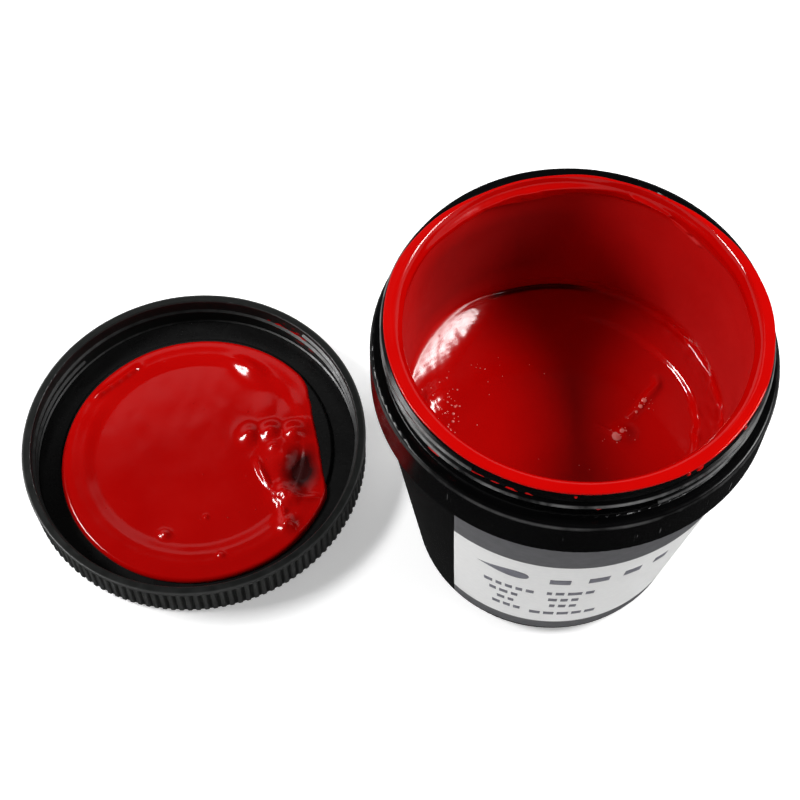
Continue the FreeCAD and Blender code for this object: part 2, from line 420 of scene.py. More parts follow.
def jar_plastic():
    """Black moulded plastic: pale lines painted on the thread crests and the collar's top edge as
    highlights, and fine slanting scuffs on the collar.
    """
    material, nodes, links, shader = new_material("black_jar_plastic")
    place, height, flat = round_place(nodes, links, COLLAR_R * MM)
    shader.inputs["IOR"].default_value = 1.46
    shader.inputs["Specular IOR Level"].default_value = 0.15
    radius = from_axis(nodes, links, place)
    # Painted highlight: the thread crests and the outer edge of the collar's top get a pale colour in
    # place of their highlights, broken into patches by noise.
    crest = product(
        nodes, links,
        between(nodes, links, radius, 57.15, 58.2, 0.15),
        between(nodes, links, height, COLLAR_TOP_Z + 1.5, 122, 0.3),
    )
    ledge = product(
        nodes, links,
        between(nodes, links, height, COLLAR_TOP_Z - 1.1, COLLAR_TOP_Z + 0.2, 0.3),
        between(nodes, links, radius, 60.1, 61.5, 0.15),
        0.3,
    )
    painted_light_patches = spread(nodes, links, noise(nodes, links, flat, 45, 4.0, 0.6), 0.40, 0.62, 0.05, 1)
    mottle_and_highlight = product(nodes, links, maths(nodes, links, "MAXIMUM", crest, ledge), painted_light_patches)
    slanted = nodes.new("ShaderNodeMapping")
    slanted.inputs["Rotation"].default_value = (0, 0.35, 0)
    slanted.inputs["Scale"].default_value = (1500, 1, 90)
    links.new(flat, slanted.inputs["Vector"])
    grain = noise(nodes, links, slanted.outputs["Vector"], 1.0, 1.0)
    scratch = product(
        nodes, links,
        spread(nodes, links, grain, 0.70, 0.76, 0, 1),
        spread(nodes, links, noise(nodes, links, flat, 70), 0.50, 0.62, 0, 0.6),
        between(nodes, links, height, COLLAR_BOTTOM_Z + 1, COLLAR_TOP_Z - 1, 0.5),
    )
    # Painted highlight on the crests and the ledge, together with the real scuffs on the collar.
    highlight_and_scratches = maths(nodes, links, "MAXIMUM", mottle_and_highlight, scratch)
    cloud = noise(nodes, links, place, 40)
    black = two_colours(nodes, links, cloud, (0.0010, 0.0010, 0.0011), (0.0024, 0.0024, 0.0026))
    links.new(
        two_colours(nodes, links, highlight_and_scratches, black, (0.21, 0.21, 0.21)),
        shader.inputs["Base Color"],
    )
    rough = spread(nodes, links, noise(nodes, links, place, 260), 0.3, 0.7, 0.18, 0.27)
    rough = maths(nodes, links, "ADD", rough, product(nodes, links, highlight_and_scratches, 0.2))
    links.new(rough, shader.inputs["Roughness"])
    bump(nodes, links, shader, noise(nodes, links, place, 500), 0.05, 0.0001)
    return material


def lid_plastic():
    """Black moulded plastic, satin, darker on the inside of the skirt as painted shade and grey on the
    ribbed outside as painted light.
    """
    material, nodes, links, shader = new_material("black_lid_plastic")
    place = nodes.new("ShaderNodeTexCoord").outputs["Object"]
    shader.inputs["IOR"].default_value = 1.46
    shader.inputs["Specular IOR Level"].default_value = 0.45
    mottle_and_highlight = noise(nodes, links, place, 90, 5.0, 0.6)
    radius = from_axis(nodes, links, shifted(nodes, links, place, (-LID_X * MM, 0, 0)))
    outside = spread(nodes, links, radius, 0.0572, 0.0586, 0, 1)
    ribs = spread(nodes, links, radius, 0.0600, 0.0606, 0, 1)
    # Painted shade: the inside of the skirt gets a darker black than the rest.
    inner = two_colours(nodes, links, mottle_and_highlight, (0.0015, 0.0015, 0.0015), (0.005, 0.005, 0.005))
    outer = two_colours(nodes, links, mottle_and_highlight, (0.003, 0.0035, 0.003), (0.008, 0.009, 0.0085))
    # Painted light: the ribbed outside gets a grey in place of the light that falls on it.
    painted_light_patches = two_colours(nodes, links, mottle_and_highlight, (0.030, 0.031, 0.030), (0.060, 0.061, 0.060))
    skirt = two_colours(nodes, links, outside, inner, outer)
    links.new(two_colours(nodes, links, ribs, skirt, painted_light_patches), shader.inputs["Base Color"])
    links.new(
        spread(nodes, links, noise(nodes, links, place, 300), 0.3, 0.7, 0.3, 0.44),
        shader.inputs["Roughness"],
    )
    bump(nodes, links, shader, noise(nodes, links, place, 1400), 0.2, 0.0001)
    return material


def liner_sheet():
    """Thin pressed black sheet, smooth, with a faint grain."""
    material, nodes, links, shader = new_material("black_liner")
    place = nodes.new("ShaderNodeTexCoord").outputs["Object"]
    shader.inputs["Specular IOR Level"].default_value = 0.2
    grain = noise(nodes, links, place, 900)
    links.new(
        two_colours(nodes, links, grain, (0.004, 0.004, 0.004), (0.009, 0.009, 0.009)),
        shader.inputs["Base Color"],
    )
    links.new(
        spread(nodes, links, noise(nodes, links, place, 120), 0.3, 0.7, 0.2, 0.34),
        shader.inputs["Roughness"],
    )
    bump(nodes, links, shader, grain, 0.1, 0.0001)
    return material


def thin_spot_and_hollow_shade(nodes, links, place):
    """Near 1 in the ragged oval over the scraped hollow: the paint there is thin over the black liner,
    and its darkening also paints the hollow's shade.
    """
    from_hollow = shifted(nodes, links, place, (-(LID_X + HOLLOW[0]) * MM, -HOLLOW[1] * MM, 0))
    oval = stretched(nodes, links, from_hollow, (1 / 0.0066, 1 / 0.0104, 0))
    ragged = product(nodes, links, noise(nodes, links, place, 170), 0.5)
    distance = maths(nodes, links, "ADD", length_of(nodes, links, oval), ragged)
    return spread(nodes, links, distance, 0.70, 1.50, 0.96, 0)


def jar_shade(nodes, links, place, height):
    """Painted shade: how much darker the paint is made low in the jar, on its far wall and in its far
    crease.
    """
    deep = spread(nodes, links, height, 0.096, 0.116, 0.07, 0)
    far_wall = product(
        nodes, links,
        spread(nodes, links, towards(nodes, links, place, 128), 0.038, 0.0495, 0, 0.45),
        spread(nodes, links, height, 0.070, 0.082, 0, 1),
        spread(nodes, links, height, 0.106, 0.118, 1, 0),
    )
    crease = product(
        nodes, links,
        spread(nodes, links, towards(nodes, links, place, CREASE_AZIMUTH), 0.0425, 0.0480, 0, 0.85),
        spread(nodes, links, from_axis(nodes, links, place), 0.0489, 0.0497, 0, 1),
        spread(nodes, links, height, 0.0685, 0.0694, 1, 0),
    )
    shade = maths(nodes, links, "MAXIMUM", deep, far_wall)
    return maths(nodes, links, "MAXIMUM", shade, crease)


def paint_roughness(nodes, links, place, split, in_jar, on_liner, thin):
    """Low on pool, lip and liner, higher where the paint was stirred, and dull on the jar's wall."""
    film = noise(nodes, links, place, 75)
    glossy = spread(nodes, links, film, 0.3, 0.7, 0.05, 0.12)
    dull = spread(nodes, links, film, 0.3, 0.7, 0.54, 0.62)
    stirred = spread(nodes, links, split.outputs["X"], -0.032, -0.018, 0.08, 0)
    for share, amount in ((stirred, in_jar), (on_liner, 0.05), (thin, 0.12)):
        glossy = maths(nodes, links, "ADD", glossy, product(nodes, links, share, amount))
    wall = product(
        nodes, links,
        spread(nodes, links, split.outputs["Z"], (POOL_Z + 3) * MM, (POOL_Z + 7) * MM, 0, 1),
        spread(nodes, links, split.outputs["Z"], (LIP_COAT_Z - 8) * MM, (LIP_COAT_Z - 4) * MM, 1, 0),
    )
    rough = nodes.new("ShaderNodeMix")
    links.new(wall, rough.inputs["Factor"])
    links.new(glossy, rough.inputs["A"])
    links.new(dull, rough.inputs["B"])
    return rough.outputs["Result"]


def paint_grain(nodes, links, place):
    """Height of fine waves and a few pinholes in the paint's surface."""
    cells = nodes.new("ShaderNodeTexVoronoi")
    cells.inputs["Scale"].default_value = 420
    links.new(place, cells.inputs["Vector"])
    few = nodes.new("ShaderNodeSeparateColor")
    links.new(cells.outputs["Color"], few.inputs["Color"])
    dots = product(
        nodes, links,
        spread(nodes, links, cells.outputs["Distance"], 0.0, 0.16, 1, 0),
        maths(nodes, links, "GREATER_THAN", few.outputs["Red"], 0.94),
    )
    waves = product(nodes, links, noise(nodes, links, place, 160), 0.5)
    return maths(nodes, links, "ADD", dots, waves)


def wet_paint():
    """Thick wet red paint: deep colour with painted shade in the jar and in a hollow on the liner,
    glossy where it pooled, duller where it was smeared.
    """
    material, nodes, links, shader = new_material("red_paint")
    place = nodes.new("ShaderNodeTexCoord").outputs["Object"]
    split = nodes.new("ShaderNodeSeparateXYZ")
    links.new(place, split.inputs["Vector"])
    shader.inputs["IOR"].default_value = 1.48
    shader.inputs["Specular IOR Level"].default_value = 0.36
    in_jar = spread(nodes, links, split.outputs["X"], -0.066, -0.062, 0, 1)
    on_liner = maths(nodes, links, "SUBTRACT", 1.0, in_jar)
    # Thin paint over the liner in the hollow, darkened also as painted shade.
    thin = thin_spot_and_hollow_shade(nodes, links, place)
    # Painted shade low in the jar, on its far wall and in its far crease, plus a slight even darkening
    # on the liner.
    shade = product(nodes, links, jar_shade(nodes, links, place, split.outputs["Z"]), in_jar)
    shade = maths(nodes, links, "ADD", shade, product(nodes, links, on_liner, 0.02))
    streaks = noise(nodes, links, place, 38, 4.0, 0.55)
    red = two_colours(nodes, links, streaks, (0.42, 0.0, 0.0), (0.54, 0.002, 0.001))
    # The painted shades darken the red towards near black.
    darkness = maths(nodes, links, "MAXIMUM", thin, shade)
    links.new(
        two_colours(nodes, links, darkness, red, (0.006, 0.0, 0.0)),
        shader.inputs["Base Color"],
    )
    links.new(
        paint_roughness(nodes, links, place, split, in_jar, on_liner, thin),
        shader.inputs["Roughness"],
    )
    bump(nodes, links, shader, paint_grain(nodes, links, place), 0.2, 0.0003)
    return material


def glint_foam():
    """Bubbles and spots of froth, paler than the paint under them; on the bubbles the pale colour is a
    painted highlight in place of their glints.
    """
    material, nodes, links, shader = new_material("glint_foam")
    place = nodes.new("ShaderNodeTexCoord").outputs["Object"]
    film = noise(nodes, links, place, 700)
    # Painted highlight: pale pink standing in for the glints on the bubbles.
    links.new(
        two_colours(nodes, links, film, (0.58, 0.04, 0.03), (0.80, 0.32, 0.29)),
        shader.inputs["Base Color"],
    )
    links.new(spread(nodes, links, film, 0.3, 0.7, 0.12, 0.25), shader.inputs["Roughness"])
    return material


def label_paper():
    """Coated off-white paper printed with a wide grey band above and a narrow one below."""
    material, nodes, links, shader = new_material("label_paper")
    place, height, flat = round_place(nodes, links, BASE_R * MM)
    shader.inputs["Specular IOR Level"].default_value = 0.35
    fibres = noise(nodes, links, stretched(nodes, links, flat, (500, 1, 900)), 1.0, 4.0)
    paper = two_colours(nodes, links, fibres, (0.70, 0.70, 0.70), (0.80, 0.80, 0.79))
    grey = two_colours(nodes, links, fibres, (0.105, 0.105, 0.112), (0.135, 0.135, 0.142))
    wobble = product(nodes, links, noise(nodes, links, flat, 1500), 0.00015)
    level = maths(nodes, links, "ADD", height, wobble)
    above = maths(nodes, links, "GREATER_THAN", level, BAND_TOP_Z * MM)
    below = maths(nodes, links, "LESS_THAN", level, BAND_BOTTOM_Z * MM)
    banded = maths(nodes, links, "ADD", above, below)
    links.new(two_colours(nodes, links, banded, paper, grey), shader.inputs["Base Color"])
    links.new(
        spread(nodes, links, noise(nodes, links, flat, 200), 0.3, 0.7, 0.35, 0.5),
        shader.inputs["Roughness"],
    )
    bump(nodes, links, shader, fibres, 0.1, 0.0001)
    return material


def label_ink():
    """Dark grey printing ink, a little patchy."""
    material, nodes, links, shader = new_material("label_ink")
    place = nodes.new("ShaderNodeTexCoord").outputs["Object"]
    patchy = noise(nodes, links, place, 800, 4.0)
    links.new(
        two_colours(nodes, links, patchy, (0.11, 0.11, 0.14), (0.24, 0.24, 0.27)),
        shader.inputs["Base Color"],
    )
    links.new(spread(nodes, links, patchy, 0.3, 0.7, 0.4, 0.55), shader.inputs["Roughness"])
    return material


def table_top():
    """Plain pale floor."""
    material, nodes, links, shader = new_material("pale_floor")
    place = nodes.new("ShaderNodeTexCoord").outputs["Object"]
    cloud = noise(nodes, links, place, 9)
    links.new(
        two_colours(nodes, links, cloud, (0.88, 0.88, 0.88), (0.92, 0.92, 0.92)),
        shader.inputs["Base Color"],
    )
    shader.inputs["Roughness"].default_value = 0.9
    shader.inputs["Specular IOR Level"].default_value = 0.1
    shader.inputs["Emission Color"].default_value = (1, 1, 1, 1)
    shader.inputs["Emission Strength"].default_value = 0.38
    return material


# ---------------------------------------------------------------- paint in the jar

def near_azimuth(x, y, middle, half):
    """1 at a given azimuth round the jar, falling to 0 half degrees away from it on both sides."""
    gap = np.abs((np.degrees(np.arctan2(y, x)) - middle + 180) % 360 - 180)
    return 1 - smooth_step(half * 0.35, half, gap)


def pool_height(x, y):
    """Height of the stirred paint's surface over its level, in millimetres."""
    r = np.hypot(x, y)
    degrees = np.degrees(np.arctan2(y, x))
    around = (degrees % 360) * math.radians(45)
    height = 0.08 * ripple(x, y, 34, 3)
    uphill = math.radians(BANK_AZIMUTH)
    climb = x * math.cos(uphill) + y * math.sin(uphill) - BANK_START
    bank = 1.2 * np.log1p(np.exp(np.clip(climb / 1.2, -30, 30)))
    stirred = 0.03 * ripple(around, r * 2.0, 8, 9) + 0.013 * ripple(around, r * 1.6, 2.6, 10)
    stirred = stirred * near_azimuth(x, y, STIRRED_AZIMUTH, 62) * smooth_step(37, 42, r)
    height = height + BANK_SLOPE * bank + stirred
    # heap by the left wall, broken into small facets
    heap = mound(x, y, (-42.9, -3.0), (2.4, 5.6), 2.1, -16)
    height = height + heap * (1 + 0.09 * ripple(x, y, 2.6, 17))
    # step round the right side of the pool
    scrape_r = SCRAPE_R - 3.4 * smooth_step(8, 60, degrees)
    step = smooth_step(-1.2, 1.2, r - scrape_r) * near_azimuth(x, y, SCRAPE_AZIMUTH, 62)
    height = height + SCRAPE_HEIGHT * step
    rough_edge = near_azimuth(x, y, 30, 60) * smooth_step(44.5, 48, r)
    height = height + 0.11 * ripple(x, y, 5.0, 13) * rough_edge
    # ridges and a knob
    height = height + ridge(x, y, [(28.6, 20), (28.8, 16), (25.6, 10.5), (20.5, 1.5)], 1.4, 0.85)
    height = height + ridge(x, y, [(29.5, 17.5), (27.0, 14.5), (25.0, 12.5)], 0.9, 0.35)
    height = height + mound(x, y, (19.8, -3.0), (2.2, 2.1), 2.1)
    # short ridges along the step
    for azimuth, length in ((12, 5), (0, 4)):
        way = math.radians(azimuth)
        out = SCRAPE_R - 3.4 * float(smooth_step(8, 60, azimuth))
        along = (-math.sin(way + 0.3) * length / 2, math.cos(way + 0.3) * length / 2)
        middle = (out * math.cos(way), out * math.sin(way))
        start = (middle[0] - along[0], middle[1] - along[1])
        end = (middle[0] + along[0], middle[1] + along[1])
        height = height + ridge(x, y, [start, middle, end], 0.9, 0.55)
    height = height + ridge(x, y, [(11, -1), (14, -2), (17, -3.5)], 0.8, 0.3)
    return height


def wall_swell(azimuth, z):
    """How far the coat on the wall stands in from its mean surface, in millimetres."""
    degrees = np.degrees(azimuth)
    ring_x = 51 * np.cos(azimuth)
    ring_y = 51 * np.sin(azimuth)
    sag = 0.08 * ripple(ring_x, ring_y, 17, 8, z=z * 0.3)
    low_edge = 116.9 + 0.9 * np.sin(azimuth * 5 + 1.1) + 0.6 * np.sin(azimuth * 11 + 2.0)
    thick = 0.55 + 0.95 * near_azimuth(np.cos(azimuth), np.sin(azimuth), 124, 44)
    roll = thick * smooth_step(low_edge - 0.7, low_edge + 0.9, z)
    strokes = 0
    # slanting strokes: first azimuth, last azimuth, height at the first, fall from there
    for start, end, level, fall in ((77, 63, 120.0, 1.0), (69, 55, 118.6, 2.4), (61, 50, 116.2, 1.8)):
        line = level - fall * (start - degrees) / (start - end)
        within = smooth_step(end - 2, end + 1, degrees)
        within = within * (1 - smooth_step(start - 1, start + 2, degrees))
        strokes = strokes + 0.8 * within * np.exp(-((z - line) / 0.5) ** 2)
    # drops
    for middle, level in ((127.5, 120.0), (113.0, 118.6), (136.0, 119.2)):
        strokes = strokes + mound((degrees - middle) * 0.89, z, (0, level), (1.5, 0.8), 0.9)
    fade = 1 - smooth_step(LIP_COAT_Z - 3.6, LIP_COAT_Z - 1.7, z)
    return sag + np.minimum(roll + strokes, 1.7) * fade


def jar_paint(material):
    """Pool, its curved edge, the coat up the wall and the roll over the lip, as one skin of paint."""
    fillet = (COAT_LOW_R - MENISCUS_R, POOL_Z + MENISCUS_R)
    roll = (COAT_THROAT_R + LIP_ROLL_R, LIP_COAT_Z - LIP_ROLL_R)
    free = run((0, POOL_Z), (fillet[0], POOL_Z), 120)
    free += arc(fillet, MENISCUS_R, -90, 0, 14)[:-1]
    free += run((COAT_LOW_R, fillet[1]), (COAT_THROAT_R, COAT_THROAT_Z), 60)
    free += run((COAT_THROAT_R, COAT_THROAT_Z), (COAT_THROAT_R, roll[1]), 36)
    free += arc(roll, LIP_ROLL_R, 180, 90, 12)
    free += run((roll[0] + 0.2, LIP_COAT_Z), (COAT_EDGE_R - 0.35, LIP_COAT_Z), 14)
    free += arc((COAT_EDGE_R - 0.35, LIP_COAT_Z - 0.35), 0.35, 90, 0, 6)
    free += [(COAT_EDGE_R, LIP_COAT_Z - 0.6), (COAT_EDGE_R - 0.1, LIP_COAT_Z - 0.9)]
    buried = [(56.0, 121.9), (55.3, 121.5), (54.9, 112), (56.4, 93)]
    buried += [(44.4, 5), (42, 2.7), (20, 2.7), (0, 2.7)]
    free_rows = len(free) - 1

    def shape(a, r, z):
        row = np.arange(len(r))[:, None] * np.ones((1, r.shape[1]))
        free_part = row < free_rows
        up_wall = smooth_step(POOL_Z + 0.3, POOL_Z + MENISCUS_R, z)
        on_pool = 1 - smooth_step(POOL_Z + MENISCUS_R, POOL_Z + 14, z)
        lift = pool_height(r * np.cos(a), r * np.sin(a)) * on_pool * free_part
        inside = 1 - smooth_step(COAT_THROAT_R + 0.2, COAT_THROAT_R + 1.2, r)
        swell = wall_swell(a, z) * up_wall * inside * free_part
        far = near_azimuth(np.cos(a), np.sin(a), 96, 78)
        edge_step = FAR_EDGE_STEP * far + 0.15 + 0.15 * ripple(np.cos(a) * 30, np.sin(a) * 30, 16, 21)
        edge_step = edge_step * smooth_step(51.2, 57.2, r) * (z > 118) * free_part
        on_lip = smooth_step(53.4, 54.6, r) * (z > 122.9) * free_part
        dip = on_lip * np.clip(0.09 + 0.07 * ripple(np.cos(a) * 54, np.sin(a) * 54, 13, 22), 0.0, 0.2)
        crease = np.exp(-((z - CREASE_Z) / 0.45) ** 2) * smooth_step(48.6, 49.6, r) * free_part
        broken = np.clip(0.5 + 1.1 * ripple(51 * np.cos(a), 51 * np.sin(a), 9, 23), 0, 1)
        right = broken * near_azimuth(np.cos(a), np.sin(a), 32, 46)
        crease = crease * np.maximum(near_azimuth(np.cos(a), np.sin(a), CREASE_AZIMUTH, 42), right)
        r = r - swell - edge_step + 0.62 * crease
        return r * np.cos(a), r * np.sin(a), z + lift - dip - 0.35 * crease

    points, faces = turned_solid(free + buried, 720, shape)
    made = make_object("paint_in_jar", points, faces, "jar", material)
    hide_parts("paint_pool", "wall_paint_coat")
    return made


def dome(centre, radius, squash=0.5):
    """Small half-sunk bubble."""
    profile = [(0, radius * squash)] + [
        (radius * math.sin(t), radius * squash * math.cos(t)) for t in np.radians([25, 50, 75, 95, 120])
    ] + [(0, -radius * 0.5)]
    points, faces = turned_solid(profile, 12)
    return points + np.array(centre), faces


def pool_bubbles(material):
    """Bubbles and spots of froth on the pool."""
    rng = np.random.default_rng(12)
    parts = []

    def pool_z(x, y):
        return POOL_Z + float(pool_height(np.array(x), np.array(y)))

    # a row of larger bubbles
    for x, y in ((-34.1, -2.3), (-34.2, -5.0), (-33.9, -7.8), (-34.3, -11.0), (-34.6, -14.5)):
        parts.append(dome((x, y, pool_z(x, y)), 0.5))
    # spots of froth: place and radius
    froth = (
        (18.1, -4.7, 1.7), (19.4, -3.0, 0.8), (25.3, 10.2, 0.9), (24.4, 7.8, 0.8), (23.2, 5.6, 0.6),
    )
    for x, y, radius in froth:
        parts.append(dome((x, y, pool_z(x, y) - 0.1), radius, 0.3))
    # clusters of small bubbles: middle, spread, number and mean radius
    clusters = (
        ((-38, -9), (3.0, 8), 24, 0.24),
        ((-31, 8), (6, 9), 10, 0.2),
        ((-22, 18), (7, 9), 6, 0.2),
        ((18.6, -3.6), (2.0, 1.8), 20, 0.2),
        ((-2, -16), (12, 7), 5, 0.16),
        ((24.6, 8.5), (2.2, 4.5), 12, 0.15),
        ((-39.2, -4.5), (2.6, 6.0), 46, 0.2),
    )
    for centre, spread_mm, count, size in clusters:
        for _ in range(count):
            x = centre[0] + rng.normal() * spread_mm[0]
            y = centre[1] + rng.normal() * spread_mm[1]
            if math.hypot(x, y) > COAT_LOW_R - MENISCUS_R - 0.5:
                continue
            parts.append(dome((x, y, pool_z(x, y)), size * rng.uniform(0.5, 1.5)))
    points, faces = joined(parts)
    return make_object("pool_bubbles", points, faces, "jar", material)


# ---------------------------------------------------------------- paint on the liner

def merged(*heights):
    """Several lumps run together, with soft valleys between them."""
    return sum(np.maximum(h, 0) ** 3 for h in heights) ** (1 / 3)


def disc_height(x, y):
    """Height of the paint's surface on the liner, over the lid's outer face, in millimetres."""
    r = np.hypot(x, y)
    height = DISH_Z + COAT + (RING_Z - DISH_Z) * smooth_step(RING_INNER_R - 3.0, RING_INNER_R + 2.4, r)
    height = height + 0.14 * np.exp(-((r - 45.0) / 2.0) ** 2)
    height = height + 0.04 * ripple(x, y, 26, 5) + 0.012 * ripple(x, y, 7, 6)
    # knobs and the lumps round them
    height = height + merged(
        mound(x, y, (30.5, 5.0), (5.4, 6.0), 2.4, -10),
        mound(x, y, (17.0, 10.0), (2.6, 2.8), 2.1, 10),
        mound(x, y, (24.4, 12.2), (3.0, 3.1), 2.7),
        mound(x, y, (33.0, 13.2), (3.2, 3.2), 3.3),
        mound(x, y, (26.8, 6.4), (2.2, 2.0), 2.0, -8),
        mound(x, y, (31.6, 3.2), (2.2, 2.0), 2.2),
        mound(x, y, (20.5, 22.0), (3.0, 6.0), 0.5, 15),
        mound(x, y, (29.5, 22.0), (3.4, 5.0), 0.5, -20),
    )
    # streak beside the knobs
    streak = merged(
        ridge(x, y, [(21.5, 0.5), (24, -3.5), (27.5, -8), (31.5, -12)], 1.4, 1.0),
        mound(x, y, (35.6, -11.2), (3.5, 3.4), 3.0, 30),
        ridge(x, y, [(33, -13), (35.5, -18), (37.5, -24)], 1.7, 1.2),
        mound(x, y, (38.2, -23.0), (2.2, 2.4), 2.0, 20),
    )
    height = height + streak * (1 + 0.09 * ripple(x, y, 3.6, 15))
    height = height + ridge(x, y, [(36, -12), (39, -12.5), (43, -12), (47.0, -10.5)], 1.1, 0.9)
    height = height + mound(x, y, (11.6, 36.4), (4.6, 2.2), 2.1, -27)
    # row of short marks
    for share in (0.0, 0.22, 0.44, 0.66, 0.88):
        cx = -40.8 + 11.0 * share
        cy = 16.8 + 14.2 * share
        height = height + mound(x, y, (cx, cy), (1.6, 0.85), 1.15, 56)
    # three specks
    height = height + mound(x, y, (-3.3, -34.2), (1.3, 1.1), 1.0)
    height = height + mound(x, y, (9.2, -25.0), (0.6, 0.6), 0.4)
    height = height + mound(x, y, (17.9, -38.8), (0.9, 0.7), 0.6)
    # hollow scraped nearly down to the liner
    floor_z = DISH_Z + 0.12 + (RING_Z - DISH_Z) * smooth_step(RING_INNER_R - 2.0, RING_INNER_R - 0.2, r)
    scooped = mound(x, y, HOLLOW, (4.0, 6.0), 1.2, 8) * (1 + 0.15 * ripple(x, y, 8, 14))
    return height - np.clip(scooped, 0, 1) * (height - floor_z) * 0.95


def liner_paint(material):
    """Coat of paint over the liner's ring and dish, a little off centre, with the lumps at one side."""
    round_r = 1.6
    flat_r = DISC_R - round_r
    free = run((0, 1), (flat_r, 1), 150) + run((flat_r, 1), (DISC_R, 0), 16)
    low_z = LAND_Z - 0.4
    buried = [(DISC_R, low_z), (DISC_R - 0.8, low_z), (30, low_z), (0, low_z)]
    free_rows = len(free) - 1

    def shape(a, r, z):
        row = np.arange(len(r))[:, None] * np.ones((1, r.shape[1]))
        free_part = row < free_rows
        fall = np.clip((r - flat_r) / round_r, 0, 1)
        share = smooth_step(20, 40, r)
        x = r * np.cos(a) + DISC_SHIFT[0] * share
        y = r * np.sin(a) + DISC_SHIFT[1] * share
        wander = 1 + 0.0025 * ripple(DISC_R * np.cos(a), DISC_R * np.sin(a), 34, 31) * share
        facing = np.cos(a - math.radians(BARE_AZIMUTH))
        uneven = 0.004 * ripple(DISC_R * np.cos(a), DISC_R * np.sin(a), 9, 32)
        cut = 1 - BARE_FROM / (DISC_R * np.maximum(facing, 0.6)) + uneven
        cut = np.log1p(np.exp(cut * 70)) / 70
        wander = wander - cut * smooth_step(30, DISC_R, r)
        x = x * wander
        y = y * wander
        height = disc_height(x, y)
        rounded = LAND_Z + (height - LAND_Z) * np.sqrt(np.clip(1 - fall ** 2, 0, 1))
        return x, y, np.where(free_part, rounded, z)

    points, faces = turned_solid(free + buried, 720, shape, LID_X)
    made = make_object("liner_paint", points, faces, "liner", material)
    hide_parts("liner_paint_coat", "liner_paint_dollop")
    return made


def liner_bubbles(material):
    """Pinhead bubbles in the paint on the liner."""
    rng = np.random.default_rng(7)
    parts = []
    for _ in range(26):
        r = 40 * math.sqrt(rng.uniform(0.05, 1))
        a = rng.uniform(0, 2 * math.pi)
        x = r * math.cos(a)
        y = r * math.sin(a)
        z = float(disc_height(np.array(x), np.array(y)))
        parts.append(dome((LID_X + x, y, z), rng.uniform(0.12, 0.3), 0.5))
    points, faces = joined(parts)
    return make_object("liner_bubbles", points, faces, "liner", material)


# ---------------------------------------------------------------- smears

def smear(radius, azimuths, levels, thickness, seed, inward=False, centre_x=0.0):
    """Blot of paint on a round wall, streaky along the wall. It dips into the wall at its edge."""
    start, end = azimuths
    a = np.radians(np.linspace(start, end, 90))[:, None]
    t = np.linspace(0, 1, 90)[:, None]
    v = np.linspace(0, 1, 26)[None, :]
    z = levels[0] + (levels[1] - levels[0]) * v + 0 * t
    blot = np.sin(math.pi * t) ** 0.5 * np.sin(math.pi * v) ** 0.5
    blot = blot + 0.6 * ripple(a * radius + 0 * z, z * 3.0, 6.0, seed) - 0.9
    proud = np.clip(thickness * blot * 1.5, -0.12, thickness)
    sign = -1 if inward else 1
    r = radius + sign * proud
    front = np.stack([centre_x + r * np.cos(a), r * np.sin(a), z + 0 * a], -1)
    back_r = radius - sign * 0.3
    back = np.stack([centre_x + back_r * np.cos(a) + 0 * z, back_r * np.sin(a) + 0 * z, z + 0 * a], -1)
    return sheet_solid(front, back)


def wall_drop(azimuth, level, radius, proud=0.38):
    """Flattened drop of paint on the outside of the neck."""
    points, faces = dome((0, 0, 0), 1.0, 1.0)
    a = math.radians(azimuth)
    out = NECK_R - 0.15 + points[:, 2] * (proud + 0.15)
    side = points[:, 0] * radius
    x = out * math.cos(a) - side * math.sin(a)
    y = out * math.sin(a) + side * math.cos(a)
    z = level + points[:, 1] * radius * 1.15
    return np.stack([x, y, z], -1), faces


def neck_smears(material):
    """Paint caught between the neck's thread ridges, and a few drops."""
    parts = [
        smear(NECK_R, (-168, -144), (111.2, 115.0), 0.2, 41),
        smear(NECK_R, (-146, -118), (111.6, 114.6), 0.2, 42),
        smear(NECK_R, (-124, -92), (117.6, 119.2), 0.2, 43),
    ]
    drops = (
        (-47, 121.0, 1.25), (-51, 121.4, 0.7), (-44, 114.6, 0.8),
        (-77, 114.9, 1.0), (-28, 121.3, 0.8), (-84, 121.2, 0.5),
    )
    for azimuth, level, radius in drops:
        parts.append(wall_drop(azimuth, level, radius))
    points, faces = joined(parts)
    return make_object("neck_smears", points, faces, "jar", material)


def lid_wall_smear(material):
    """Thin smear of paint on the inside of the lid's skirt."""
    points, faces = smear(LID_BORE_R, (50, 78), (5.2, 13.2), 0.25, 51, inward=True, centre_x=LID_X)
    return make_object("lid_wall_smear", points, faces, "lid", material)


# ---------------------------------------------------------------- label

def cone_r(z):
    """Outside radius of the jar's tapered body at height z."""
    return BASE_R + (SHOULDER_R - BASE_R) * z / COLLAR_BOTTOM_Z


def label_gap(z):
    """Half of the angle, in degrees, that the label leaves bare at height z."""
    share = (z - LABEL_BOTTOM_Z) / (LABEL_TOP_Z - LABEL_BOTTOM_Z)
    half = LABEL_GAP_BOTTOM_HALF + (LABEL_GAP_TOP_HALF - LABEL_GAP_BOTTOM_HALF) * share
    return np.degrees(np.arcsin(half / cone_r(z)))


